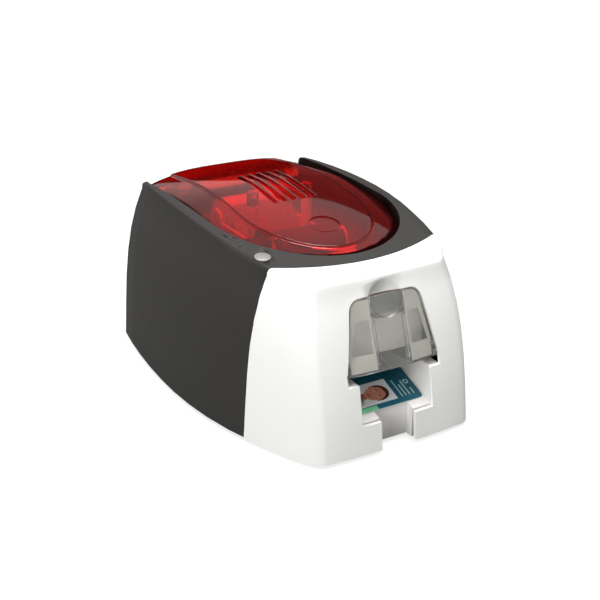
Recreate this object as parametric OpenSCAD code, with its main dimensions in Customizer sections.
// Desktop card printer with a hinged red lid, a smoky feeder door and an output tray.
// Millimetres, Z up, the front faces -Y. The origin is on the floor under the middle of the body.

/* [Body] */
// Length of the body from front to rear
body_l = 264; // [240:1:300]
// Width of the body at its widest, near the floor
body_w = 208; // [200:1:230]
// Height of the body's bottom edge above the floor
bottom_z = 3; // [2:0.5:6]
// Height of the top edge of the sides at its highest
rim_h = 132.5; // [128:0.5:140]
// Wall of the casing, the covers and the base
wall = 2.6; // [2:0.1:3.5]
// Place along the body where it is widest
wide_y = 36; // [20:1:50]
// How far each side is drawn in at the rear end
rear_tuck = 7.4; // [4:0.2:10]
// How far each side is drawn in at the seam with the front cover
seam_tuck = 16; // [12:0.5:20]
// How far the sides lean in at the reference height, straight part
side_lean_low = 9.2; // [6:0.2:12]
// How far the sides lean in at the reference height, curved part
side_lean_top = 14.5; // [12:0.5:18]
// How far the front leans back at the reference height, straight part
front_lean_low = 5; // [4:0.5:8]
// How far the front leans back at the reference height, curved part
front_lean_top = 29; // [24:0.5:32]
// Size of the rounded corner between side and front
corner_l = 27; // [22:1:32]
// Height of the front cover's top edge
front_rim_h = 118; // [114:0.5:120]
// Radius of the rounded top edge
rim_r = 4; // [2.5:0.5:5]
// Place of the seam between casing and front cover on the sides
seam_y = -70; // [-76:1:-64]
// How far the seam bows forward across the top
seam_bow = 16.5; // [12:0.5:20]
// Gap at the seam between casing and covers
seam_gap = 0.4; // [0.2:0.1:0.8]

/* [Lid] */
// Half width of the lid at its rear half
lid_half_w = 70; // [66:0.5:72]
// Length of the rounded front of the lid
lid_nose = 85; // [76:1:88]
// Place where the lid starts to round towards its front
lid_round_y = 10; // [0:1:20]
// Height of the lid's crown
lid_top_h = 142; // [138:0.5:148]
// Thickness of the lid
lid_wall = 2.2; // [1.6:0.1:3]
// Height of the step around the raised panel
lid_step = 1.4; // [0.8:0.1:2]
// Gap around the lid
lid_gap = 1.2; // [0.8:0.1:2]
// Depth of the lid's turned down edge
lid_skirt = 5; // [3:0.5:7]
// Number of vent slots in the lid
vent_count = 5; // [3:1:7]
// Distance between vent slots
vent_pitch = 8; // [6:0.5:9]
// Width of a vent slot
vent_w = 2.4; // [1.6:0.2:3]
// Length of a vent slot
vent_l = 60; // [40:1:64]
// Diameter of the shallow round recess in the lid
recess_d = 22; // [16:1:26]

/* [Lid hinge] */
// Distance of the hinge axis from the rear end
hinge_in = 4.2; // [4:0.1:6]
// Height of the hinge axis
hinge_z = 118.5; // [116:0.5:120]
// Diameter of the hinge pins
hinge_pin_d = 3; // [2.5:0.1:3.5]
// Outer diameter of the hinge knuckles
knuckle_d = 7; // [6:0.2:8]
// Width of a knuckle on the lid
knuckle_w = 12; // [8:1:16]

/* [Feeder door] */
// Width of the door at its lower edge
door_w_low = 73; // [68:1:76]
// Width of the door at its upper edge
door_w_top = 54; // [48:1:58]
// Height of the door along its face
door_h = 50; // [46:0.5:52]
// Height of the door's lower edge
door_z = 60; // [58:0.5:63]
// Thickness of the door
door_wall = 2; // [1.6:0.1:2.6]
// Radius of the door's bulged face
door_r = 111; // [95:1:130]
// Diameter of the finger recess at the door's upper edge
cup_d = 26; // [22:1:28]
// Depth of the pocket behind the door's upper edge
cup_depth = 7; // [5:0.5:8]
// Depth of the finger recess behind the door's plane
recess_back = 9.5; // [8:0.5:11]
// Diameter of the door's hinge pins
door_pin_d = 3; // [2.5:0.1:3.5]

/* [Card and tray] */
// Width of a card
card_w = 54; // [54:0.02:54]
// Length of a card
card_l = 85.6; // [85.6:0.1:85.6]
// Thickness of a card
card_t = 0.8; // [0.7:0.02:0.9]
// Slope of the output tray in degrees
tray_slope = 18.8; // [17:0.2:20]
// Half width of the tray between its side walls
tray_half_w = 28.7; // [28:0.1:29.4]
// Half width of the notch in the tray's front
notch_half_w = 13.7; // [11:0.2:16]
// Height of the tray's front edge
ledge_z = 23.8; // [21:0.2:26]
// Height of the shelves beside the tray
shelf_z = 52.3; // [50:0.2:54]
// Depth of the notch in the tray's front
notch_depth = 11; // [8:0.5:14]
// Thickness of the tray floor
tray_wall = 2.4; // [1.8:0.1:3]

/* [Frame] */
// Half distance between the inner faces of the frame plates
frame_half = 33; // [32.4:0.2:35]
// Thickness of a frame plate
plate_t = 1.5; // [1:0.1:2]
// Height of the card path over the floor
path_z = 80; // [79:0.5:82]
// Diameter of the roller shafts
shaft_d = 5; // [4:0.5:6]
// Running clearance of a shaft in its bush, on the radius
shaft_clear = 0.04; // [0.02:0.01:0.08]
// Outer diameter of a bush
bush_d = 8; // [7.5:0.5:8.5]

/* [Gears] */
// Tooth module of the gears
tooth_m = 1; // [1:0.1:1]
// Width of a gear
gear_w = 4; // [3:0.5:5]
// Backlash at the pitch circle of each gear
backlash = 0.16; // [0.1:0.02:0.24]

/* [Small parts] */
// Diameter of the power button
button_d = 11.5; // [9:0.5:13]
// Travel of the power button
button_travel = 0.8; // [0.4:0.1:1.2]
// Diameter of an indicator window
lens_d = 3; // [2:0.2:4]
// Diameter of a foot
foot_d = 16; // [12:1:20]
// Diameter of a case screw
screw_d = 3; // [2.5:0.5:4]

/* [Hidden] */
$fn = 48;

rear_y = body_l / 2;
front_y = -body_l / 2;
// The strip of casing beside the lid keeps its width if the lid grows
side_strip = 34;
half_w = max(body_w / 2, lid_half_w + side_strip);
lean_h = 128;
lap = 1;
face_gap = 0.1;
part_gap = 0.3;

// Half width of the outer wall at its foot, for a place along the body
function side_foot(y) = y > wide_y
    ? half_w - rear_tuck * pow((y - wide_y) / (rear_y - wide_y), 2)
    : half_w - seam_tuck * pow((wide_y - y) / (wide_y - seam_y), 2.2);
// How far a side has come in at a height
function side_lean(z) = side_lean_low * z / lean_h + side_lean_top * pow(max(z, 0) / lean_h, 4);
// Half width of the body at a place and a height
function side_x(y, z) = side_foot(y) - side_lean(z);
// Front surface of the body, leaning back and slightly bowed
front_bow = 0.0008;
function front_lean(z) = front_lean_low * z / lean_h + front_lean_top * pow(max(z, 0) / lean_h, 2);
function front_face(x, z) = front_y + front_bow * x * x + front_lean(z);
// Height of the top edge along the body
crest_y = 65;
rim_drop_rear = 3;
rim_drop_seam = 9;
function rim_z(y) = y > crest_y
    ? rim_h - rim_drop_rear * pow((y - crest_y) / (rear_y - crest_y), 2)
    : max(front_rim_h, rim_h - rim_drop_seam * pow((crest_y - y) / (crest_y - seam_y), 2.4));

function lerp(a, b, t) = a + (b - a) * t;
function bezier(a, b, c, t) = a * (1 - t) * (1 - t) + b * 2 * t * (1 - t) + c * t * t;
function meet(p, u, q, v) = p + u * ((q[0] - p[0]) * v[1] - (q[1] - p[1]) * v[0]) / (u[0] * v[1] - u[1] * v[0]);
function reflected(points) = [for (i = [len(points) - 1 : -1 : 0])
    [-points[i][0], each [for (k = [1 : len(points[i]) - 1]) points[i][k]]]];

// Outline of the body at a share of its side height, drawn in by an inset: x, y and z of each point
side_steps = 10;
corner_steps = 6;
front_steps = 3;
rear_r = 2;
near_x = 1.5;
function level(y, share) = bottom_z + share * (rim_z(y) - rim_r - bottom_z);
function half_outline(share, inset) =
    let (front_z = level(front_y, share),
         corner_y = front_face(half_w * 0.58, front_z) + corner_l,
         corner_z = level(corner_y, share),
         side_end = [side_x(corner_y, corner_z) - inset, corner_y + inset / 3],
         side_dir = [side_x(corner_y - 1, corner_z) - side_x(corner_y, corner_z), -1],
         front_x = side_end[0] - corner_l * 0.72,
         front_end = [front_x, front_face(front_x, front_z) + inset],
         corner = meet(side_end, side_dir, front_end, [1, 2 * front_bow * front_x]),
         rear_end = rear_y - inset,
         rear_side_y = rear_end - rear_r,
         rear_x = side_x(rear_end, level(rear_end, share)) - inset)
    [for (p = concat(
        [[near_x, rear_end], [rear_x - rear_r, rear_end]],
        [for (i = [0 : side_steps])
            let (y = lerp(rear_side_y, side_end[1], i / side_steps)) [side_x(y, level(y, share)) - inset, y]],
        [for (i = [1 : corner_steps]) bezier(side_end, corner, front_end, i / corner_steps)],
        [for (i = [1 : front_steps])
            let (x = lerp(front_x, near_x, i / front_steps)) [x, front_face(x, front_z) + inset]]))
        [p[0], p[1], level(p[1], share)]];
function outline(share, inset) = let (half = half_outline(share, inset)) concat(half, reflected(half));

// Outline of the opening for the lid, one point for each point of the body's outline
outline_n = side_steps + corner_steps + front_steps + 3;
opening_side_n = 5;
rear_strip = 9;
function opening_half(grow) =
    let (half = lid_half_w + grow, back = rear_y - rear_strip + grow)
    [for (i = [0 : outline_n - 1])
        i == 0 ? [near_x, back]
        : i < opening_side_n ? [half, lerp(back, lid_round_y, (i - 1) / (opening_side_n - 1))]
        : let (a = 90 * (i - opening_side_n + 1) / (outline_n - opening_side_n + 0.25))
          [half * cos(a), lid_round_y - (lid_nose + grow) * sin(a)]];
function opening(grow) = let (half = opening_half(grow)) concat(half, reflected(half));

// Height of the strip around the lid
strip_rise = 1.2;
strip_crown = 1;
function strip_z(p) = rim_z(p[1]) + strip_rise + strip_crown * (1 - pow(min(1, abs(p[0]) / lid_half_w), 2));
function rim_ring(t, inset) =
    let (outer = outline(1, inset), inner = opening(lid_gap + inset / 2))
    [for (i = [0 : len(outer) - 1])
        let (a = [outer[i][0], outer[i][1]],
             p = lerp(a, inner[i], min(0.7, rim_r * (1 - cos(90 * t)) / norm(inner[i] - a))),
             low = outer[i][2])
        [p[0], p[1], low + (strip_z(p) - inset - low) * sin(90 * t)]];
function strip_ring(t) =
    let (outer = rim_ring(1, 0), inner = opening(lid_gap))
    [for (i = [0 : len(outer) - 1])
        let (p = lerp([outer[i][0], outer[i][1]], inner[i], t)) [p[0], p[1], strip_z(p)]];
function lip_ring(grow, drop) = [for (p = opening(lid_gap + grow)) [p[0], p[1], strip_z(p) - drop]];

// Solid through a closed series of rings that all have the same number of points
module ring_solid(rings) {
    n = len(rings[0]);
    m = len(rings);
    polyhedron(points = [for (ring = rings) each ring],
               faces = [for (k = [0 : m - 1]) for (i = [0 : n - 1])
                   let (a = k * n + i, b = k * n + (i + 1) % n,
                        c = ((k + 1) % m) * n + (i + 1) % n, d = ((k + 1) % m) * n + i)
                   each [[a, b, c], [a, c, d]]],
               convexity = 8);
}

// The whole outer wall in one piece: sides, front, rear, and the strip around the lid with its lip
wall_shares = [0, 0.22, 0.42, 0.6, 0.75, 0.88, 1];
lip_depth = 9;
lip_t = 1.8;
module body_form()
    ring_solid(concat([for (s = wall_shares) outline(s, 0)],
                      [for (t = [0.35, 0.68, 1]) rim_ring(t, 0)],
                      [strip_ring(0.5), strip_ring(1)],
                      [lip_ring(0, lip_depth), lip_ring(lip_t, lip_depth), lip_ring(lip_t, wall)],
                      [rim_ring(1, wall)],
                      [for (i = [len(wall_shares) - 1 : -1 : 0]) outline(wall_shares[i], wall)]));

// Plan line of the seam between casing and front cover
seam_steps = 12;
function seam_line(x) = seam_y - seam_bow * max(0, 1 - pow(x / lid_half_w * 1.04, 2));
module front_region(shift) {
    reach = body_l;
    translate([0, 0, -lap])
        linear_extrude(rim_h + 30)
            polygon(concat([for (i = [-seam_steps : seam_steps])
                               let (x = lid_half_w * i / seam_steps) [x, seam_line(x) + shift]],
                           [[reach, seam_y + shift], [reach, -reach], [-reach, -reach], [-reach, seam_y + shift]]));
}

// Opening in the rear wall that the rear cover closes: half widths at its foot and at its head
rear_head_z = hinge_z - 2.7;
rear_flange = 7;
function rear_half(z) = side_x(rear_y, z) - rear_flange;
module rear_window(shrink, from_y, depth)
    translate([0, from_y + depth, 0])
        rotate([90, 0, 0])
            linear_extrude(depth)
                polygon([[-rear_half(bottom_z) + shrink, bottom_z - (shrink > 0 ? -shrink : lap)],
                         [rear_half(bottom_z) - shrink, bottom_z - (shrink > 0 ? -shrink : lap)],
                         [rear_half(rear_head_z) - shrink, rear_head_z],
                         [-rear_half(rear_head_z) + shrink, rear_head_z]]);

// Power button and indicators on the front left of the strip
button_x = 6.5 - lid_half_w;
button_y = -56.5;
button_gap = 0.3;
button_dish = 1.6;
button_proud = 0.4;
button_crown = 0.9;
button_free = button_travel + face_gap;
button_stem_r = 3.5;
button_guide_r = 5.4;
button_guide_z = -4.4;
button_flange_r = 4.4;
button_flange_t = 1.2;
button_board_z = -8;
button_board_w = 15.5;
button_board_t = 1.6;
// The board's corner is cut off beside the lip around the lid
button_board_cut = 4;
button_post_d = 4;
button_posts = [[9.5, -4], [9.5, 4]];
function top_z(x, y) = strip_z([x, y]);
button_tilt = atan((top_z(button_x, button_y + 1) - top_z(button_x, button_y - 1)) / 2);
module on_button()
    translate([button_x, button_y, top_z(button_x, button_y)])
        rotate([button_tilt, 0, 0])
            children();
lens_places = [[-lid_half_w - 0.3, -22], [0.7 - lid_half_w, -34]];

module main_casing() color("#4a4a4b") difference() {
    union() {
        body_form();
        on_button() {
            translate([0, 0, button_guide_z])
                cylinder(r = button_guide_r, h = -button_guide_z - wall / 2);
            for (p = button_posts)
                translate([p[0], p[1], button_board_z])
                    cylinder(d = button_post_d, h = -button_board_z - wall / 2);
        }
    }
    front_region(seam_gap / 2);
    rear_window(0, rear_y - 2 * wall, 3 * wall);
    translate([-lid_half_w - lid_gap / 2, rear_y - rear_strip, rear_head_z - 2 * lap])
        cube([2 * lid_half_w + lid_gap, 2 * rear_strip, 40]);
    on_button() {
        translate([0, 0, 2 * button_guide_z])
            cylinder(r = button_stem_r + button_gap, h = -4 * button_guide_z);
        translate([0, 0, -button_dish])
            cylinder(r = button_d / 2 + button_gap, h = 2 * wall);
    }
    for (p = lens_places)
        translate([p[0], p[1], top_z(p[0], p[1]) - 2 * wall])
            cylinder(d = lens_d, h = 4 * wall);
}

module indicator_lenses() color("#30322f")
    for (p = lens_places)
        translate([p[0], p[1], top_z(p[0], p[1]) - wall])
            cylinder(d = lens_d, h = wall + 0.25);

module power_button() color("#b9bab8") on_button() {
    translate([0, 0, button_free - button_dish])
        cylinder(d = button_d, h = button_proud + button_dish - button_free);
    translate([0, 0, button_proud])
        intersection() {
            cylinder(d = button_d, h = button_crown);
            translate([0, 0, button_crown - button_d * 2.2])
                sphere(r = button_d * 2.2, $fn = 96);
        }
    translate([0, 0, button_board_z + button_free])
        cylinder(r = button_stem_r, h = -button_board_z - button_free);
    translate([0, 0, button_guide_z - face_gap - button_flange_t])
        cylinder(r = button_flange_r, h = button_flange_t);
}
module button_board() color("#2f6b3c") on_button()
    translate([-button_flange_r, -button_board_w / 2, button_board_z - button_board_t])
        linear_extrude(button_board_t)
            polygon([[0, 0], [button_board_w, 0], [button_board_w, button_board_w - button_board_cut],
                     [button_board_w - button_board_cut, button_board_w], [0, button_board_w]]);

// The door's place on the front: its own plane leans back with the cover
door_lean = 18.4;
door_face_y = front_face(0, door_z) - 2.9;
door_gap = 0.5;
door_corner = 7;
module on_door_plane()
    translate([0, door_face_y, door_z])
        rotate([90 - door_lean, 0, 0])
            children();
module door_outline(grow) {
    low = door_w_low / 2 + grow;
    top = door_w_top / 2 + grow;
    high = door_h + grow;
    r = door_corner + grow;
    arc_steps = 5;
    right = concat([[low, -grow]], [for (i = [0 : arc_steps])
        let (a = 90 * i / arc_steps, side = top + (low - top) * (r / high) * (1 - sin(a)))
        [side - r + r * cos(a), high - r + r * sin(a)]]);
    polygon(concat(right, reflected(right)));
}
cup_r = cup_d / 2;
cup_y = door_h - 3.4;
cup_ball = (cup_r * cup_r + cup_depth * cup_depth) / 2 / cup_depth;
cover_behind = 3.5;
recess_ball = (cup_r * cup_r + pow(recess_back - cover_behind, 2)) / 2 / (recess_back - cover_behind);
door_knuckle_d = 6;
door_boss_d = door_knuckle_d + 2;
door_axis_z = door_z + 3;
door_axis_y = front_face(door_w_low / 2 + door_gap, door_axis_z) + door_boss_d / 2 + wall / 2;
door_pin_reach = 3.2;

module front_cover() color("#e9e9e7") difference() {
    union() {
        intersection() {
            body_form();
            front_region(-seam_gap / 2);
        }
        on_door_plane()
            intersection() {
                translate([0, cup_y, recess_ball - recess_back])
                    sphere(r = recess_ball + wall, $fn = 96);
                translate([-cup_d, door_h - lap, -30])
                    cube([2 * cup_d, cup_d, 30 - cover_behind - wall / 2]);
            }
        for (side = [-1, 1])
            translate([side * (door_w_low / 2 + door_gap + 2.1), door_axis_y, door_axis_z])
                rotate([0, 90, 0])
                    cylinder(d = door_boss_d, h = 4, center = true);
    }
    on_door_plane()
        translate([0, 0, -12])
            linear_extrude(40)
                door_outline(door_gap);
    on_door_plane()
        translate([0, cup_y, recess_ball - recess_back])
            sphere(r = recess_ball, $fn = 96);
    tray_mouth();
    for (side = [-1, 1])
        translate([side * (door_w_low / 2 + 2), door_axis_y, door_axis_z])
            rotate([0, 90, 0])
                cylinder(r = door_pin_d / 2 + shaft_clear, h = 12, center = true);
    translate([0, door_axis_y, door_axis_z])
        rotate([0, 90, 0])
            cylinder(r = door_knuckle_d / 2 + part_gap, h = door_w_low + 2 * door_gap, center = true);
}

// Everything the output tray needs free in the front cover
module tray_mouth()
    translate([0, front_y + 30, 0])
        rotate([90, 0, 0])
            linear_extrude(60) {
                translate([-notch_half_w, bottom_z - lap])
                    square([2 * notch_half_w, ledge_z]);
                translate([-tray_half_w, ledge_z])
                    square([2 * tray_half_w, shelf_z - ledge_z + lap]);
                translate([-door_w_low / 2 - door_gap, shelf_z])
                    square([door_w_low + 2 * door_gap, door_z - shelf_z + lap]);
            }

rib_x = 12;
rib_h = 4;
rib_t = 1.2;
door_knuckle_w = 4;
module feeder_door() color("#8d8c86", 0.75) {
    on_door_plane() {
        intersection() {
            linear_extrude(40, center = true)
                door_outline(0);
            translate([0, -20, -door_r])
                rotate([-90, 0, 0])
                    difference() {
                        cylinder(r = door_r, h = 100, $fn = 180);
                        translate([0, 0, -lap])
                            cylinder(r = door_r - door_wall, h = 110, $fn = 180);
                    }
        }
        intersection() {
            translate([0, cup_y, cup_ball - cup_depth - door_wall * 0.7])
                difference() {
                    sphere(r = cup_ball + door_wall, $fn = 96);
                    sphere(r = cup_ball, $fn = 96);
                }
            translate([0, cup_y, -30])
                cylinder(r = cup_r, h = 30 - door_wall * 0.7);
            translate([-cup_d, 0, -30])
                cube([2 * cup_d, door_h - 0.5, 30]);
        }
        for (side = [-1, 1])
            translate([side * rib_x - rib_t / 2, 4, -rib_h - door_wall])
                cube([rib_t, door_h - cup_r - 6, rib_h + door_wall * 0.6]);
    }
    for (side = [-1, 1])
        translate([side * door_w_low / 2, door_axis_y, door_axis_z])
            rotate([0, 90 * side, 0]) {
                translate([0, 0, -door_knuckle_w])
                    cylinder(d = door_knuckle_d, h = door_knuckle_w);
                cylinder(d = door_pin_d, h = door_pin_reach);
            }
}

// Grey frame glued behind the clear door, with a window on each side of the ribs
door_frame_t = 1;
door_frame_in = cup_r + 0.4;
door_frame_inset = 1.5;
door_window_in = door_frame_in + 1.6;
door_window_low = 13;
door_window_top = 35;
door_window_rim = 3.2;
door_knuckle_top = 10;
module door_frame_plan() difference() {
    door_outline(-door_frame_inset);
    translate([-door_frame_in, -door_h])
        square([2 * door_frame_in, 3 * door_h]);
    for (side = [-1, 1]) {
        intersection() {
            door_outline(-door_frame_inset - door_window_rim);
            translate([side > 0 ? door_window_in : -door_w_low - door_window_in, door_window_low])
                square([door_w_low, door_window_top - door_window_low]);
        }
        translate([side * door_w_low / 2 - door_knuckle_w - 2 * part_gap, -door_knuckle_top])
            square([2 * (door_knuckle_w + 2 * part_gap), 2 * door_knuckle_top]);
    }
}
module door_frame() color("#c4c2bb")
    on_door_plane()
        intersection() {
            linear_extrude(40, center = true)
                door_frame_plan();
            translate([0, -20, -door_r])
                rotate([-90, 0, 0])
                    difference() {
                        cylinder(r = door_r - door_wall - face_gap, h = 100, $fn = 180);
                        translate([0, 0, -lap])
                            cylinder(r = door_r - door_wall - face_gap - door_frame_t, h = 110, $fn = 180);
                    }
        }

// Height of the tray floor along the body
tray_front_y = front_y + 1.2;
function tray_z(y) = ledge_z + (y - tray_front_y) * tan(tray_slope);
tray_rear_y = -38;
block_y = front_y + notch_depth + 1;
tray_side_t = 2;
function behind_cover(z) = front_face(tray_half_w, z) + wall + part_gap;
module side_profile(points, x_from, width)
    translate([x_from, 0, 0])
        rotate([90, 0, 90])
            linear_extrude(width)
                polygon(points);
tray_foot_z = bottom_z;
module output_tray() color("#dededc") {
    difference() {
        side_profile([[behind_cover(ledge_z), tray_z(behind_cover(ledge_z))], [tray_rear_y, tray_z(tray_rear_y)],
                      [tray_rear_y, tray_z(tray_rear_y) - tray_wall],
                      [behind_cover(ledge_z), tray_z(behind_cover(ledge_z)) - tray_wall]],
                     -tray_half_w - tray_side_t, 2 * (tray_half_w + tray_side_t));
        translate([-notch_half_w, front_y, 0])
            cube([2 * notch_half_w, block_y - front_y, shelf_z]);
    }
    translate([-notch_half_w, block_y, tray_foot_z])
        cube([2 * notch_half_w, tray_side_t, tray_z(block_y) - tray_wall / 2 - tray_foot_z]);
    for (side = [-1, 1]) {
        x = side > 0 ? tray_half_w : -tray_half_w - tray_side_t;
        translate([side > 0 ? tray_half_w + lap : -frame_half + face_gap, tray_rear_y - 18, shelf_z])
            cube([frame_half - face_gap - tray_half_w - lap, 14, 2]);
        side_profile([[behind_cover(ledge_z), tray_z(behind_cover(ledge_z)) - tray_wall],
                      [tray_rear_y, tray_z(tray_rear_y) - tray_wall], [tray_rear_y, path_z - 8],
                      [tray_rear_y - 30, shelf_z], [behind_cover(shelf_z), shelf_z]], x, tray_side_t);
        side_profile([[behind_cover(tray_foot_z) + 2, tray_foot_z], [block_y + tray_side_t, tray_foot_z],
                      [block_y + tray_side_t, tray_z(block_y)],
                      [behind_cover(ledge_z), tray_z(behind_cover(ledge_z))]],
                     side > 0 ? notch_half_w : -notch_half_w - tray_side_t, tray_side_t);
        translate([side > 0 ? tray_half_w : -door_w_low / 2 - door_gap, behind_cover(shelf_z) + 1, shelf_z - 2])
            cube([door_w_low / 2 + door_gap - tray_half_w, 8, 2]);
    }
}

// The card lies on the tray floor with its short edge to the front
card_front_y = block_y - 0.4;
card_corner = 3.2;
module rounded_plate(w, l, t, r)
    linear_extrude(t) {
        translate([-w / 2 + r, 0])
            square([w - 2 * r, l]);
        translate([-w / 2, r])
            square([w, l - 2 * r]);
        for (x = [-w / 2 + r, w / 2 - r])
            for (y = [r, l - r])
                translate([x, y])
                    circle(r = r);
    }
module id_card() color("#0d5566")
    translate([0, card_front_y, tray_z(card_front_y)])
        rotate([tray_slope, 0, 0])
            translate([0, 0, face_gap])
                rounded_plate(card_w, card_l, card_t, card_corner);

// Feed hopper behind the door
hopper_front_y = -106.5;
hopper_rear_y = hopper_front_y + card_l + 0.4;
hopper_half = card_w / 2 + 0.6;
hopper_wall = 2;
hopper_floor_t = 2;
hopper_h = 22;
hopper_front_drop = 13;
hopper_front_rise = 10;
plate_front_y = -58;
pick_slot_half = 13;
module card_hopper() color("#8b8b88") difference() {
    union() {
        translate([-hopper_half - hopper_wall, hopper_front_y, path_z - hopper_floor_t])
            cube([2 * (hopper_half + hopper_wall), hopper_rear_y - hopper_front_y, hopper_floor_t]);
        for (side = [-1, 1])
            translate([side > 0 ? hopper_half : -hopper_half - hopper_wall, hopper_front_y, path_z - lap])
                cube([hopper_wall, hopper_rear_y - hopper_front_y, hopper_h]);
        translate([-frame_half + face_gap, plate_front_y + 2, path_z - hopper_floor_t])
            cube([2 * (frame_half - face_gap), 14, hopper_floor_t]);
        translate([-hopper_half - hopper_wall, hopper_front_y - hopper_wall, path_z - hopper_front_drop])
            cube([2 * (hopper_half + hopper_wall), hopper_wall + face_gap, hopper_front_drop + hopper_front_rise]);
        translate([-hopper_half - hopper_wall, hopper_rear_y - face_gap, path_z + 2 * card_t])
            cube([2 * (hopper_half + hopper_wall), hopper_wall + face_gap, hopper_h - lap - 2 * card_t]);
    }
    translate([-pick_slot_half, pick_y - 10, path_z - 2 * hopper_floor_t])
        cube([2 * pick_slot_half, 20, 4 * hopper_floor_t]);
}

// Places of the roller axes, along the body and over the floor, and tooth counts
teeth_roller = 14;
teeth_idler = 16;
teeth_exit = 24;
teeth_pinion = 12;
roller_r = 7;
platen_y = 36;
transport_y = 54;
feed_y = -14;
pick_y = -44;
axle_z = path_z - roller_r;
exit_y = -29;
exit_z = axle_z - (teeth_idler + teeth_exit) * tooth_m / 2;
exit_r = (tray_z(exit_y) - exit_z) * cos(tray_slope);
platen_at = [platen_y, axle_z];
transport_at = [transport_y, axle_z];
feed_at = [feed_y, axle_z];
pick_at = [pick_y, axle_z];
exit_at = [exit_y, exit_z];

// Places of the idlers and of the motor, which follow from the tooth counts
teeth_middle = round(((platen_y - feed_y) - teeth_roller * tooth_m) / tooth_m);
mesh_ri = (teeth_roller + teeth_idler) * tooth_m / 2;
rear_idler_at = [(platen_y + transport_y) / 2, axle_z - sqrt(pow(mesh_ri, 2) - pow((transport_y - platen_y) / 2, 2))];
middle_idler_at = [(platen_y + feed_y) / 2, axle_z];
front_idler_at = [(feed_y + pick_y) / 2, axle_z];
motor_at = [rear_idler_at[0], rear_idler_at[1] - (teeth_pinion + teeth_idler) * tooth_m / 2];

function bearing(a, b) = atan2(b[1] - a[1], b[0] - a[0]);
// Turn of a gear that meshes with another one whose turn is known
function mesh_turn(at_a, turn_a, teeth_a, at_b, teeth_b) =
    let (line = bearing(at_a, at_b)) line + 180 - (0.5 - (line - turn_a) * teeth_a / 360) * 360 / teeth_b;
turn_platen = 0;
turn_rear_idler = mesh_turn(platen_at, turn_platen, teeth_roller, rear_idler_at, teeth_idler);
turn_transport = mesh_turn(rear_idler_at, turn_rear_idler, teeth_idler, transport_at, teeth_roller);
turn_pinion = mesh_turn(rear_idler_at, turn_rear_idler, teeth_idler, motor_at, teeth_pinion);
turn_middle = mesh_turn(platen_at, turn_platen, teeth_roller, middle_idler_at, teeth_middle);
turn_feed = mesh_turn(middle_idler_at, turn_middle, teeth_middle, feed_at, teeth_roller);
turn_front_idler = mesh_turn(feed_at, turn_feed, teeth_roller, front_idler_at, teeth_idler);
turn_pick = mesh_turn(front_idler_at, turn_front_idler, teeth_idler, pick_at, teeth_roller);
turn_exit = mesh_turn(front_idler_at, turn_front_idler, teeth_idler, exit_at, teeth_exit);

// Involute tooth outline
pressure = 25;
function involute(a) = tan(a) * 180 / PI - a;
function half_tooth(teeth, r) =
    let (pitch_r = teeth * tooth_m / 2, base_r = pitch_r * cos(pressure))
    90 / teeth - backlash / 2 / pitch_r * 180 / PI + involute(pressure)
    - (r > base_r ? involute(acos(base_r / r)) : 0);
function tooth(teeth, turn) =
    let (pitch_r = teeth * tooth_m / 2, base_r = pitch_r * cos(pressure),
         root_r = pitch_r - 1.15 * tooth_m, tip_r = pitch_r + 0.85 * tooth_m,
         flank = [root_r, max(base_r, root_r + 0.05), lerp(base_r, tip_r, 0.35), lerp(base_r, tip_r, 0.7), tip_r])
    concat([for (r = flank) let (a = turn - half_tooth(teeth, r)) [r * cos(a), r * sin(a)]],
           [for (i = [4 : -1 : 0]) let (r = flank[i], a = turn + half_tooth(teeth, r)) [r * cos(a), r * sin(a)]]);
module gear_plan(teeth, turn) polygon([for (i = [0 : teeth - 1]) each tooth(teeth, turn + 360 * i / teeth)]);

// A child drawn in plan stands across the body at an axis
module across(at, x_from)
    translate([x_from, at[0], at[1]])
        rotate([90, 0, 90])
            children();
gear_x = frame_half + plate_t + 1.2;
module gear_at(at, teeth, turn, bore)
    across(at, gear_x)
        linear_extrude(gear_w)
            difference() {
                gear_plan(teeth, turn);
                circle(d = bore);
            }
shaft_left = frame_half + plate_t + 2;
shaft_right = gear_x + gear_w + 1;
module shaft_at(at) across(at, -shaft_left) cylinder(d = shaft_d, h = shaft_left + shaft_right);
roller_l = card_w + 4;
module sleeve_at(at, r, length)
    across(at, -length / 2)
        difference() {
            cylinder(r = r, h = length);
            translate([0, 0, -lap])
                cylinder(d = shaft_d, h = length + 2 * lap);
        }

module platen_shaft() color("#b4b6b8") shaft_at(platen_at);
module platen_roller() color("#222323") sleeve_at(platen_at, roller_r - part_gap / 3, roller_l);
module platen_gear() color("#e6e4da") gear_at(platen_at, teeth_roller, turn_platen, shaft_d);
module transport_shaft() color("#b4b6b8") shaft_at(transport_at);
module transport_roller() color("#222323") sleeve_at(transport_at, roller_r - part_gap / 3, roller_l);
module transport_gear() color("#e6e4da") gear_at(transport_at, teeth_roller, turn_transport, shaft_d);
module feed_shaft() color("#b4b6b8") shaft_at(feed_at);
module feed_roller() color("#3a6ea5") sleeve_at(feed_at, roller_r - part_gap / 3, roller_l);
module feed_gear() color("#e6e4da") gear_at(feed_at, teeth_roller, turn_feed, shaft_d);
module pick_shaft() color("#b4b6b8") shaft_at(pick_at);
module pick_roller() color("#222323") sleeve_at(pick_at, roller_r - part_gap / 3, 2 * pick_slot_half - 4);
module pick_gear() color("#e6e4da") gear_at(pick_at, teeth_roller, turn_pick, shaft_d);
module exit_shaft() color("#b4b6b8") shaft_at(exit_at);
module exit_roller() color("#222323") sleeve_at(exit_at, exit_r, roller_l);
module exit_gear() color("#e6e4da") gear_at(exit_at, teeth_exit, turn_exit, shaft_d);

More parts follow.
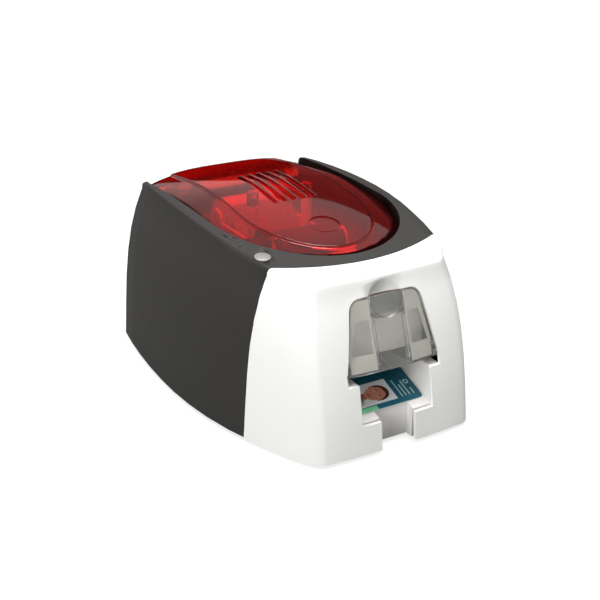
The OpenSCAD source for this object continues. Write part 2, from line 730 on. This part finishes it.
stud_d = 5;
module rear_idler_gear() color("#e6e4da") gear_at(rear_idler_at, teeth_idler, turn_rear_idler, stud_d + 2 * shaft_clear);
module middle_idler_gear() color("#e6e4da")
    gear_at(middle_idler_at, teeth_middle, turn_middle, stud_d + 2 * shaft_clear);
module front_idler_gear() color("#e6e4da")
    gear_at(front_idler_at, teeth_idler, turn_front_idler, stud_d + 2 * shaft_clear);
module idler_studs() color("#b4b6b8")
    for (at = [rear_idler_at, middle_idler_at, front_idler_at]) {
        across(at, frame_half + plate_t)
            cylinder(d = stud_d + 2, h = gear_x - part_gap - frame_half - plate_t);
        across(at, frame_half + plate_t)
            cylinder(d = stud_d, h = gear_x + gear_w + part_gap - frame_half - plate_t);
        across(at, gear_x + gear_w + part_gap)
            cylinder(d = stud_d + 2, h = 1);
    }

// Steel idler rollers that press the card down
pinch_r = 4;
journal_d = 4;
transport_pinch_at = [transport_y, path_z + card_t + pinch_r];
feed_pinch_at = [feed_y, path_z + card_t + pinch_r];
exit_pinch_r = 3;
exit_normal = exit_r + card_t + exit_pinch_r + face_gap;
exit_pinch_at = [exit_y - exit_normal * sin(tray_slope), exit_z + exit_normal * cos(tray_slope)];
module pinch_at(at, r) color("#a9abad") {
    across(at, -roller_l / 2)
        cylinder(r = r, h = roller_l);
    across(at, -frame_half - plate_t)
        cylinder(d = journal_d, h = 2 * (frame_half + plate_t));
}
module transport_pinch_roller() pinch_at(transport_pinch_at, pinch_r);
module feed_pinch_roller() pinch_at(feed_pinch_at, pinch_r);
module exit_pinch_roller() pinch_at(exit_pinch_at, exit_pinch_r);

// Flap that turns finished cards down to the tray
flap_at = [0, path_z - 4.2];
flap_l = 22;
flap_t = 1.2;
flap_rise = 4;
module diverter_flap() color("#4c4d4f") {
    across(flap_at, -frame_half - plate_t)
        cylinder(d = journal_d, h = 2 * (frame_half + plate_t));
    translate([-roller_l / 2, flap_at[0], flap_at[1]])
        rotate([flap_rise, 0, 0])
            translate([0, 0, -flap_t / 2])
                cube([roller_l, flap_l, flap_t]);
}

// Side plates of the frame
plate_rear_y = 112;
plate_top_z = path_z + 14;
base_top_z = bottom_z + wall;
plate_foot = 12;
bush_places = [platen_at, transport_at, feed_at, pick_at, exit_at];
journal_places = [transport_pinch_at, feed_pinch_at, exit_pinch_at, flap_at];
rod_places = [[8, 20], [100, 24], [100, 82]];
rod_d = 6;
foot_tabs = [-20, 60];
foot_tab_l = 26;
screw_places = [for (side = [-1, 1]) for (y = foot_tabs) [side * (frame_half + plate_foot / 2 + 0.7), y + foot_tab_l / 2]];
takeup_at = [-2, path_z + 26];
ear_half = 13;
motor_stub_r = 2;
module frame_plate(side) difference() {
    union() {
        translate([side > 0 ? frame_half : -frame_half - plate_t, plate_front_y, base_top_z])
            cube([plate_t, plate_rear_y - plate_front_y, plate_top_z - base_top_z]);
        for (y = foot_tabs)
            translate([side > 0 ? frame_half : -frame_half - plate_foot, y, base_top_z])
                cube([plate_foot, foot_tab_l, plate_t]);
        if (side < 0)
            across(takeup_at, -frame_half - plate_t)
                translate([-ear_half, plate_top_z - takeup_at[1] - lap])
                    cube([2 * ear_half, ear_half + takeup_at[1] - plate_top_z + lap, plate_t]);
    }
    if (side < 0)
        across(takeup_at, -frame_half - 2 * plate_t)
            cylinder(r = motor_stub_r + part_gap, h = 3 * plate_t);
    for (at = bush_places)
        across(at, -frame_half - 2 * plate_t)
            cylinder(d = bush_d, h = 2 * (frame_half + 2 * plate_t));
    for (at = journal_places)
        across(at, -frame_half - 2 * plate_t)
            cylinder(r = journal_d / 2 + shaft_clear, h = 2 * (frame_half + 2 * plate_t));
    for (p = screw_places)
        translate([p[0], p[1], 0])
            cylinder(d = screw_d, h = 20);
    if (side > 0)
        across(motor_at, 0)
            cylinder(d = 14, h = 2 * frame_half);
}
// Hood on the hopper, which keeps dust and light off the blank cards
hood_t = 1.6;
hood_z = path_z - lap + hopper_h + part_gap;
hood_half = hopper_half + hopper_wall + part_gap + hood_t;
hood_front_y = hopper_front_y + 2.5;
hood_lip = 4;
hood_flange_h = 3.9;
hood_flange_in = cup_r + 2.5;
hood_notch = 5;
module hopper_hood() color("#c4c2bb") {
    difference() {
        translate([-hood_half, hood_front_y, hood_z])
            cube([2 * hood_half, hopper_rear_y - hood_front_y, hood_t]);
        translate([-hood_flange_in, hood_front_y - lap, hood_z - lap])
            cube([2 * hood_flange_in, hood_notch + lap, hood_t + 2 * lap]);
    }
    for (side = [-1, 1]) {
        translate([side > 0 ? hood_half - hood_t : -hood_half, hood_front_y, hood_z - hood_lip])
            cube([hood_t, hopper_rear_y - hood_front_y, hood_lip + lap]);
        translate([side > 0 ? hood_flange_in : -hood_half, hood_front_y, hood_z + hood_t - lap])
            cube([hood_half - hood_flange_in, hood_t, hood_flange_h + lap]);
    }
}

// Deck on the frame that covers the gears and the board beside the ribbon bay
deck_t = 2;
deck_z = plate_top_z + face_gap;
deck_front_y = -62;
deck_rear_y = rear_y - wall - 4;
deck_clear = 1;
deck_steps = 8;
deck_tab_gap = 0.5;
deck_rim_h = 3;
deck_rim_t = 1.6;
deck_boss_d = 7;
deck_bosses = [[50, -40], [62, 20], [60, 96], [-50, -40], [-62, 34], [-60, 96]];
module deck_plan() difference() {
    polygon([for (side = [1, -1]) for (i = [0 : deck_steps])
        let (y = lerp(deck_front_y, deck_rear_y, side > 0 ? i / deck_steps : 1 - i / deck_steps))
        [side * (side_x(y, deck_z) - wall - deck_clear), y]]);
    translate([-frame_half, -body_l])
        square([2 * frame_half, body_l + plate_rear_y + 2 * part_gap]);
    translate([-frame_half - plate_t - ribbon_motor_l - 2, takeup_at[0] - ear_half - part_gap])
        square([ribbon_motor_l + plate_t + 3, 2 * (ear_half + part_gap)]);
    for (y = tab_places)
        translate([-frame_half - plate_t - deck_tab_gap, y - deck_tab_gap])
            square([2 * (frame_half + plate_t + deck_tab_gap), bar_h + 2 * deck_tab_gap]);
}
module inner_deck() color("#bdbcb8") {
    translate([0, 0, deck_z])
        linear_extrude(deck_t)
            deck_plan();
    for (side = [-1, 1])
        translate([side * (frame_half + plate_t + deck_rim_t) - deck_rim_t / 2, takeup_at[0] + ear_half + 2,
                deck_z + deck_t - lap])
            cube([deck_rim_t, plate_rear_y - takeup_at[0] - ear_half - 4, deck_rim_h + lap]);
    for (p = deck_bosses)
        translate([p[0], p[1], deck_z + deck_t - lap])
            cylinder(d = deck_boss_d, h = lap + deck_rim_h / 2);
}
module left_frame_plate() color("#a7aaad") frame_plate(-1);
module right_frame_plate() color("#a7aaad") frame_plate(1);
module tie_rods() color("#b4b6b8")
    for (at = rod_places)
        across(at, -frame_half)
            cylinder(d = rod_d, h = 2 * frame_half);
module shaft_bushes() color("#b8923c")
    for (side = [-1, 1])
        for (at = bush_places)
            translate([side * frame_half, at[0], at[1]])
                rotate([0, 90 * side, 0])
                    difference() {
                        union() {
                            cylinder(d = bush_d, h = plate_t + 0.8);
                            translate([0, 0, -1.2])
                                cylinder(d = bush_d + 2, h = 1.2);
                        }
                        translate([0, 0, -2])
                            cylinder(r = shaft_d / 2 + shaft_clear, h = 10);
                    }

motor_w = 35;
motor_l = 26;
motor_shaft_in = 12;
module drive_motor() color("#3a3b3d") difference() {
    translate([frame_half - motor_l, motor_at[0] - motor_w / 2, motor_at[1] - motor_w / 2])
        cube([motor_l, motor_w, motor_w]);
    across(motor_at, frame_half - motor_shaft_in)
        cylinder(r = shaft_d / 2 + shaft_clear, h = motor_l);
}
module motor_pinion() color("#c8a24a") {
    across(motor_at, frame_half - motor_shaft_in + part_gap)
        cylinder(d = shaft_d, h = shaft_right + motor_shaft_in - frame_half - part_gap);
    across(motor_at, gear_x)
        linear_extrude(gear_w)
            gear_plan(teeth_pinion, turn_pinion);
}

// Surface of the lid: crown along the body, and fall towards the sides
lid_crest_y = 58;
lid_fall_rear = 6.6;
lid_fall_front = 12.5;
lid_fall_side = 8.7;
lid_ref_l = 98;
function lid_crown(y) = y > lid_crest_y
    ? lid_top_h - lid_fall_rear * pow((y - lid_crest_y) / (rear_y - lid_crest_y), 1.6)
    : lid_top_h - lid_fall_front * pow((lid_crest_y - y) / lid_ref_l, 1.6);
function lid_z(x, y) = lid_crown(y) - lid_fall_side * pow(abs(x) / lid_half_w, 3.2);

// One line around the lid, from its rear right over the nose to its rear left
lid_side_n = 4;
lid_nose_n = 9;
function lid_line(half, length) =
    let (right = concat(
        [for (i = [0 : lid_side_n]) [half, lerp(rear_y, lid_round_y, i / lid_side_n)]],
        [for (i = [1 : lid_nose_n - 1])
            let (a = 90 * i / lid_nose_n) [half * cos(a), lid_round_y - length * sin(a)]]))
    concat(right, [[0, lid_round_y - length]], reflected(right));
lid_rear_foot_z = hinge_z + 3.8;
function lid_lift(half, length, drop, floor_z = 0) =
    [for (p = lid_line(half, length))
        let (z = lid_z(p[0], p[1]) - drop) [p[0], p[1], p[1] > lid_round_y ? max(z, floor_z) : z]];
panel_half = 48.5;
panel_nose = 70;
lid_edge_r = 1.2;
lid_foot = lid_step + lid_edge_r + lid_skirt;
lid_top_rings = [
    lid_lift(lid_half_w - 0.4, lid_nose - 0.4, lid_foot, lid_rear_foot_z),
    lid_lift(lid_half_w, lid_nose, lid_step + lid_edge_r),
    lid_lift(lid_half_w - lid_edge_r, lid_nose - lid_edge_r, lid_step),
    lid_lift((lid_half_w + panel_half) / 2, (lid_nose + panel_nose) / 2, lid_step),
    lid_lift(panel_half + 0.8, panel_nose + 0.8, lid_step),
    lid_lift(panel_half - 0.4, panel_nose - 0.4, 0),
    lid_lift(panel_half * 0.68, panel_nose * 0.72, 0),
    lid_lift(panel_half * 0.36, panel_nose * 0.42, 0),
    lid_lift(panel_half * 0.1, panel_nose * 0.12, 0)];
lid_under_rings = [
    lid_lift(lid_half_w - lid_wall, lid_nose - lid_wall, lid_foot, lid_rear_foot_z),
    lid_lift(lid_half_w - lid_wall, lid_nose - lid_wall, lid_step + lid_edge_r + lid_wall * 0.8, lid_rear_foot_z + 0.4),
    lid_lift(lid_half_w - lid_wall - 0.6, lid_nose - lid_wall - 0.6, lid_step + lid_wall),
    lid_lift((lid_half_w + panel_half) / 2, (lid_nose + panel_nose) / 2, lid_step + lid_wall),
    lid_lift(panel_half + 0.2, panel_nose + 0.2, lid_step + lid_wall),
    lid_lift(panel_half - 1, panel_nose - 1, lid_wall),
    lid_lift(panel_half * 0.68, panel_nose * 0.72, lid_wall),
    lid_lift(panel_half * 0.36, panel_nose * 0.42, lid_wall),
    lid_lift(panel_half * 0.1, panel_nose * 0.12, lid_wall)];
module lid_shell() {
    n = len(lid_top_rings[0]);
    m = len(lid_top_rings);
    last = m - 1;
    under = n * m;
    function quad(a, b, c, d) = a == b ? [[b, c, d]] : c == d ? [[a, b, c]] : b == c ? [[a, b, d]] : [[a, b, c], [a, c, d]];
    function flip(quads) = [for (f = quads) [f[2], f[1], f[0]]];
    function top(j, i) = j * n + i;
    function low(j, i) = under + j * n + i;
    polyhedron(
        points = [for (ring = concat(lid_top_rings, lid_under_rings)) each ring],
        faces = concat(
            [for (j = [0 : last - 1]) for (i = [0 : n - 2])
                each quad(top(j, i), top(j, i + 1), top(j + 1, i + 1), top(j + 1, i))],
            [for (j = [0 : last - 1]) for (i = [0 : n - 2])
                each flip(quad(low(j, i), low(j, i + 1), low(j + 1, i + 1), low(j + 1, i)))],
            [for (i = [0 : n - 2]) each quad(low(0, i), low(0, i + 1), top(0, i + 1), top(0, i))],
            [for (j = [0 : last - 1]) each quad(low(j, 0), top(j, 0), top(j + 1, 0), low(j + 1, 0))],
            [for (j = [0 : last - 1]) each quad(top(j, n - 1), low(j, n - 1), low(j + 1, n - 1), top(j + 1, n - 1))],
            [for (i = [0 : (n - 1) / 2 - 1])
                each quad(top(last, i), top(last, i + 1), top(last, n - 2 - i), top(last, n - 1 - i))],
            [for (i = [0 : (n - 1) / 2 - 1])
                each flip(quad(low(last, i), low(last, i + 1), low(last, n - 2 - i), low(last, n - 1 - i)))],
            quad(low(last, 0), top(last, 0), top(last, n - 1), low(last, n - 1))),
        convexity = 6);
}

// Hinge along the rear edge
hinge_y = rear_y - hinge_in;
knuckle_x = 40;
ear_w = 8;
knuckle_gap = 0.3;
hinge_at = [hinge_y, hinge_z];
module knuckle(x_mid, width, bore)
    across(hinge_at, x_mid - width / 2)
        difference() {
            cylinder(d = knuckle_d, h = width);
            translate([0, 0, -lap])
                cylinder(r = bore, h = width + 2 * lap);
        }

vent_front_y = 12;
recess_y = -30;
recess_depth = 0.8;
head_y = platen_y;
boss_x = 23;
boss_d = 9;
boss_foot_z = path_z + 48;
module lid() color("#a81c1c", 0.8) {
    difference() {
        union() {
            lid_shell();
            translate([0, rear_y, 0])
                rotate([90, 0, 0])
                    linear_extrude(lid_wall)
                        polygon(concat([[-lid_half_w + 1, lid_rear_foot_z], [lid_half_w - 1, lid_rear_foot_z]],
                            [for (i = [12 : -1 : -12])
                                let (x = (lid_half_w - 1) * i / 12)
                                [x, lid_z(x, rear_y) - (abs(x) > panel_half - 2 ? lid_step : 0) - lid_wall / 2]]));
            for (side = [-1, 1])
                translate([side * knuckle_x - knuckle_w / 2, hinge_y - knuckle_d / 2, hinge_z])
                    cube([knuckle_w, knuckle_d / 2 + hinge_in - 0.4, lid_rear_foot_z - hinge_z + lap]);
            for (side = [-1, 1])
                across(hinge_at, side * knuckle_x - knuckle_w / 2)
                    cylinder(d = knuckle_d, h = knuckle_w);
            for (side = [-1, 1])
                translate([side * boss_x, head_y, boss_foot_z])
                    cylinder(d = boss_d, h = lid_z(boss_x, head_y) - lid_wall / 2 - boss_foot_z);
        }
        across(hinge_at, -lid_half_w)
            cylinder(r = hinge_pin_d / 2 + shaft_clear, h = 2 * lid_half_w);
        for (i = [0 : vent_count - 1])
            translate([(i - (vent_count - 1) / 2) * vent_pitch, vent_front_y, lid_top_h - 20]) {
                translate([-vent_w / 2, 0, 0])
                    cube([vent_w, vent_l, 40]);
                for (y = [0, vent_l])
                    translate([0, y, 0])
                        cylinder(d = vent_w, h = 40);
            }
        translate([0, recess_y, lid_z(0, recess_y)])
            rotate([atan((lid_z(0, recess_y + 1) - lid_z(0, recess_y - 1)) / 2), 0, 0])
                translate([0, 0, -recess_depth])
                    cylinder(d = recess_d, h = 4);
    }
}
module lid_hinge_pins() color("#c6c8ca")
    for (side = [-1, 1])
        across(hinge_at, side * knuckle_x - knuckle_w / 2 - knuckle_gap - ear_w)
            cylinder(d = hinge_pin_d, h = knuckle_w + 2 * (knuckle_gap + ear_w));

// Printhead group under the lid
head_half = card_w / 2 + 0.5;
head_gap = 1.6;
head_foot_z = path_z + head_gap;
head_top_z = head_foot_z + 5.5;
sink_h = 12;
sink_half_y = 7;
fin_n = 5;
fin_t = 1.4;
sink_top_z = head_top_z + sink_h;
module printhead() color("#c9c2a6")
    side_profile([[head_y - 6, head_top_z], [head_y - 6, head_foot_z + 2.5], [head_y - 2, head_foot_z],
                  [head_y + 2, head_foot_z], [head_y + 6, head_foot_z + 2.5], [head_y + 6, head_top_z]],
                 -head_half, 2 * head_half);
module printhead_heatsink() color("#bcbfc2") {
    translate([-head_half, head_y - sink_half_y, sink_top_z - 3])
        cube([2 * head_half, 2 * sink_half_y, 3]);
    for (i = [0 : fin_n - 1])
        translate([-head_half, head_y - sink_half_y + (2 * sink_half_y - fin_t) * i / (fin_n - 1), head_top_z])
            cube([2 * head_half, fin_t, sink_h - 2]);
}
bracket_t = 1.5;
module printhead_bracket() color("#9ea1a4") {
    translate([-head_half, head_y - sink_half_y - 2, sink_top_z])
        cube([2 * head_half, 2 * sink_half_y + 4, bracket_t]);
    for (side = [-1, 1])
        translate([side * boss_x, head_y, sink_top_z])
            cylinder(d = boss_d - 1, h = boss_foot_z - sink_top_z);
}

// Ribbon cassette with its two spools
supply_at = [84, path_z + 24];
front_rod_at = [18, path_z + 18];
rear_rod_at = [52, path_z + 18];
guide_r = 2.5;
core_r = 8;
core_journal_r = 5;
supply_r = 17;
takeup_r = 13;
film_w = card_w + 1;
cassette_in = 30;
cassette_t = 1.6;
bar_h = 6;
tab_places = [14, 60];
module cassette_side(side) {
    x = side > 0 ? cassette_in : -cassette_in - cassette_t;
    difference() {
        union() {
            for (at = [supply_at, takeup_at])
                across(at, x)
                    cylinder(r = core_journal_r + 5, h = cassette_t);
            for (at = [front_rod_at, rear_rod_at])
                across(at, x)
                    cylinder(r = guide_r + 2, h = cassette_t);
            translate([x, takeup_at[0], front_rod_at[1] + 1])
                cube([cassette_t, supply_at[0] - takeup_at[0], bar_h]);
            for (y = tab_places) {
                translate([x, y, plate_top_z + face_gap])
                    cube([cassette_t, bar_h, front_rod_at[1] + 2 - plate_top_z]);
                translate([side > 0 ? cassette_in : -frame_half - plate_t, y, plate_top_z + face_gap])
                    cube([frame_half + plate_t - cassette_in, bar_h, 1.8]);
            }
        }
        for (at = [supply_at, takeup_at])
            across(at, x - lap)
                cylinder(r = core_journal_r + shaft_clear, h = cassette_t + 2 * lap);
    }
}
module ribbon_cassette() color("#5b5d60") {
    cassette_side(-1);
    cassette_side(1);
    for (at = [front_rod_at, rear_rod_at])
        across(at, -cassette_in - cassette_t / 2)
            cylinder(r = guide_r, h = 2 * cassette_in + cassette_t);
}
module core_at(at) {
    across(at, -cassette_in + part_gap)
        cylinder(r = core_r, h = 2 * (cassette_in - part_gap));
    across(at, -cassette_in - cassette_t)
        cylinder(r = core_journal_r, h = 2 * (cassette_in + cassette_t));
}
module roll_at(at, r)
    across(at, -film_w / 2)
        difference() {
            cylinder(r = r, h = film_w, $fn = 96);
            translate([0, 0, -lap])
                cylinder(r = core_r, h = film_w + 2 * lap);
        }
ribbon_motor_l = 20;
ribbon_motor_d = 24;
module ribbon_supply_core() color("#d8d6cc") core_at(supply_at);
module ribbon_supply_roll() color("#2b2347") roll_at(supply_at, supply_r);
module ribbon_takeup_core() color("#d8d6cc") {
    core_at(takeup_at);
    across(takeup_at, -frame_half - plate_t - ribbon_motor_l / 2)
        cylinder(r = motor_stub_r, h = ribbon_motor_l);
}
module ribbon_takeup_roll() color("#3b2436") roll_at(takeup_at, takeup_r);
module ribbon_motor() color("#3a3b3d") difference() {
    across(takeup_at, -frame_half - plate_t - ribbon_motor_l)
        cylinder(d = ribbon_motor_d, h = ribbon_motor_l);
    across(takeup_at, -frame_half - plate_t - ribbon_motor_l / 2 - part_gap)
        cylinder(r = motor_stub_r + shaft_clear, h = ribbon_motor_l);
}

// The film runs from the full spool over the guides and under the printhead
film_t = 0.3;
film_gap = 0.3;
film_z = head_foot_z - film_gap - film_t / 2;
function tangent_point(p, at, r, turn) =
    let (d = norm(p - at), a = bearing(at, p) + turn * acos(r / d)) at + r * [cos(a), sin(a)];
film_wrap = guide_r + film_gap + film_t / 2;
film_path = concat(
    [tangent_point([rear_rod_at[0], rear_rod_at[1] + film_wrap], supply_at, supply_r + film_gap + film_t / 2, -1)],
    [for (a = [90 : 20 : 190]) rear_rod_at + film_wrap * [cos(a), sin(a)]],
    [[head_y + 7, film_z], [head_y - 9, film_z]],
    [for (a = [-10 : 20 : 90]) front_rod_at + film_wrap * [cos(a), sin(a)]],
    [tangent_point([front_rod_at[0], front_rod_at[1] + film_wrap], takeup_at, takeup_r + film_gap + film_t / 2, 1)]);
function film_side(i, side) =
    let (last = len(film_path) - 1,
         a = bearing(film_path[max(i - 1, 0)], film_path[i == 0 ? 1 : i]),
         b = bearing(film_path[i == last ? last - 1 : i], film_path[min(i + 1, last)]),
         bend = (((b - a) % 360 + 540) % 360 - 180) / 2,
         reach = side * film_t / 2 / cos(bend))
    film_path[i] + reach * [-sin(a + bend), cos(a + bend)];
module ribbon_film() color("#4a2350", 0.7)
    across([0, 0], -film_w / 2)
        linear_extrude(film_w)
            polygon(concat([for (i = [0 : len(film_path) - 1]) film_side(i, 1)],
                           [for (i = [len(film_path) - 1 : -1 : 0]) film_side(i, -1)]));

// Base, board and sockets
board_x = -88;
board_y = rear_y - 118;
board_w = 46;
board_l = 112;
board_z = base_top_z + 6;
board_t = 1.6;
board_posts = [for (x = [4, board_w - 4]) for (y = [4, board_l - 4]) [board_x + x, board_y + y]];
usb_x = board_x + 10;
usb_w = 12;
usb_h = 11;
usb_l = 16;
inlet_x = board_x + 28;
inlet_w = 14;
inlet_h = 11;
inlet_l = 14;
socket_y = rear_y - 0.6;
foot_places = [[60, -88], [-60, -88], [80, 96], [-80, 96]];
base_notch_half = notch_half_w + tray_side_t + part_gap;
module base_tray() color("#3c3d3f") {
    difference() {
        translate([0, 0, bottom_z])
            linear_extrude(wall)
                polygon([for (p = outline(0, wall + part_gap)) [p[0], p[1]]]);
        translate([-base_notch_half, -body_l, 0])
            cube([2 * base_notch_half, body_l + block_y + tray_side_t + part_gap, base_top_z + lap]);
        for (p = screw_places)
            translate([p[0], p[1], 0])
                cylinder(d = screw_d, h = 20);
    }
    for (p = board_posts)
        translate([p[0], p[1], base_top_z - face_gap])
            cylinder(d = 6, h = board_z - base_top_z + face_gap);
}
module rear_cover() color("#454547") {
    difference() {
        rear_window(part_gap, rear_y - wall, wall);
        translate([usb_x - part_gap, rear_y - 2 * wall, board_z + board_t - part_gap])
            cube([usb_w + 2 * part_gap, 3 * wall, usb_h + 2 * part_gap]);
        translate([inlet_x - part_gap, rear_y - 2 * wall, board_z + board_t - part_gap])
            cube([inlet_w + 2 * part_gap, 3 * wall, inlet_h + 2 * part_gap]);
        for (i = [0 : 8])
            translate([(i - 4) * 10 - 2, rear_y - 2 * wall, 60])
                cube([4, 3 * wall, 34]);
        for (side = [-1, 1])
            across(hinge_at, side * knuckle_x - knuckle_w / 2 - knuckle_gap)
                cylinder(r = hinge_in, h = knuckle_w + 2 * knuckle_gap);
    }
    for (side = [-1, 1])
        for (dir = [-1, 1]) {
            mid = side * knuckle_x + dir * (knuckle_w / 2 + knuckle_gap + ear_w / 2);
            knuckle(mid, ear_w, hinge_pin_d / 2);
            difference() {
                translate([mid - ear_w / 2, hinge_y - knuckle_d / 2, rear_head_z - 8])
                    cube([ear_w, knuckle_d, 8 + hinge_z - rear_head_z]);
                across(hinge_at, -lid_half_w)
                    cylinder(d = knuckle_d - 1, h = 2 * lid_half_w);
            }
        }
}
module main_board() color("#1f5d3a") difference() {
    union() {
        translate([board_x, board_y, board_z])
            cube([board_w, board_l, board_t]);
        translate([board_x + 14, board_y + 40, board_z + board_t])
            cube([16, 16, 1.6]);
        translate([board_x + 8, board_y + 14, board_z + board_t])
            cube([10, 14, 2]);
        for (y = [66, 78])
            translate([board_x + 36, board_y + y, board_z + board_t])
                cylinder(d = 8, h = 12);
    }
    for (p = board_posts)
        translate([p[0], p[1], board_z - lap])
            cylinder(d = 3, h = 4);
}
module usb_socket() color("#b9bbbd") difference() {
    translate([usb_x, socket_y - usb_l, board_z + board_t])
        cube([usb_w, usb_l, usb_h]);
    translate([usb_x + 1.8, socket_y - 9, board_z + board_t + 1.7])
        cube([usb_w - 3.6, 12, usb_h - 3.4]);
}
module power_inlet() color("#1d1e20") {
    difference() {
        translate([inlet_x, socket_y - inlet_l, board_z + board_t])
            cube([inlet_w, inlet_l, inlet_h]);
        translate([inlet_x + inlet_w / 2, socket_y + lap, board_z + board_t + inlet_h / 2])
            rotate([90, 0, 0])
                cylinder(d = 6.4, h = 10 + lap);
    }
    translate([inlet_x + inlet_w / 2, socket_y - 1, board_z + board_t + inlet_h / 2])
        rotate([90, 0, 0])
            cylinder(d = 2, h = 10);
}
module rubber_feet() color("#1b1b1c")
    for (p = foot_places)
        translate([p[0], p[1], 0])
            cylinder(d = foot_d, h = bottom_z);
module case_screws() color("#8d9093")
    for (p = screw_places) {
        translate([p[0], p[1], base_top_z + plate_t])
            cylinder(d = 2 * screw_d, h = 1.8);
        translate([p[0], p[1], bottom_z + 0.4])
            cylinder(d = screw_d - 0.2, h = base_top_z + plate_t - bottom_z - 0.4);
    }

main_casing();
front_cover();
base_tray();
rear_cover();
lid();
lid_hinge_pins();
feeder_door();
door_frame();
output_tray();
id_card();
card_hopper();
hopper_hood();
power_button();
button_board();
indicator_lenses();
inner_deck();
left_frame_plate();
right_frame_plate();
tie_rods();
shaft_bushes();
platen_shaft();
platen_roller();
platen_gear();
transport_shaft();
transport_roller();
transport_gear();
feed_shaft();
feed_roller();
feed_gear();
pick_shaft();
pick_roller();
pick_gear();
exit_shaft();
exit_roller();
exit_gear();
rear_idler_gear();
middle_idler_gear();
front_idler_gear();
idler_studs();
drive_motor();
motor_pinion();
transport_pinch_roller();
feed_pinch_roller();
exit_pinch_roller();
diverter_flap();
printhead();
printhead_heatsink();
printhead_bracket();
ribbon_cassette();
ribbon_supply_core();
ribbon_supply_roll();
ribbon_takeup_core();
ribbon_takeup_roll();
ribbon_film();
ribbon_motor();
main_board();
usb_socket();
power_inlet();
rubber_feet();
case_screws();
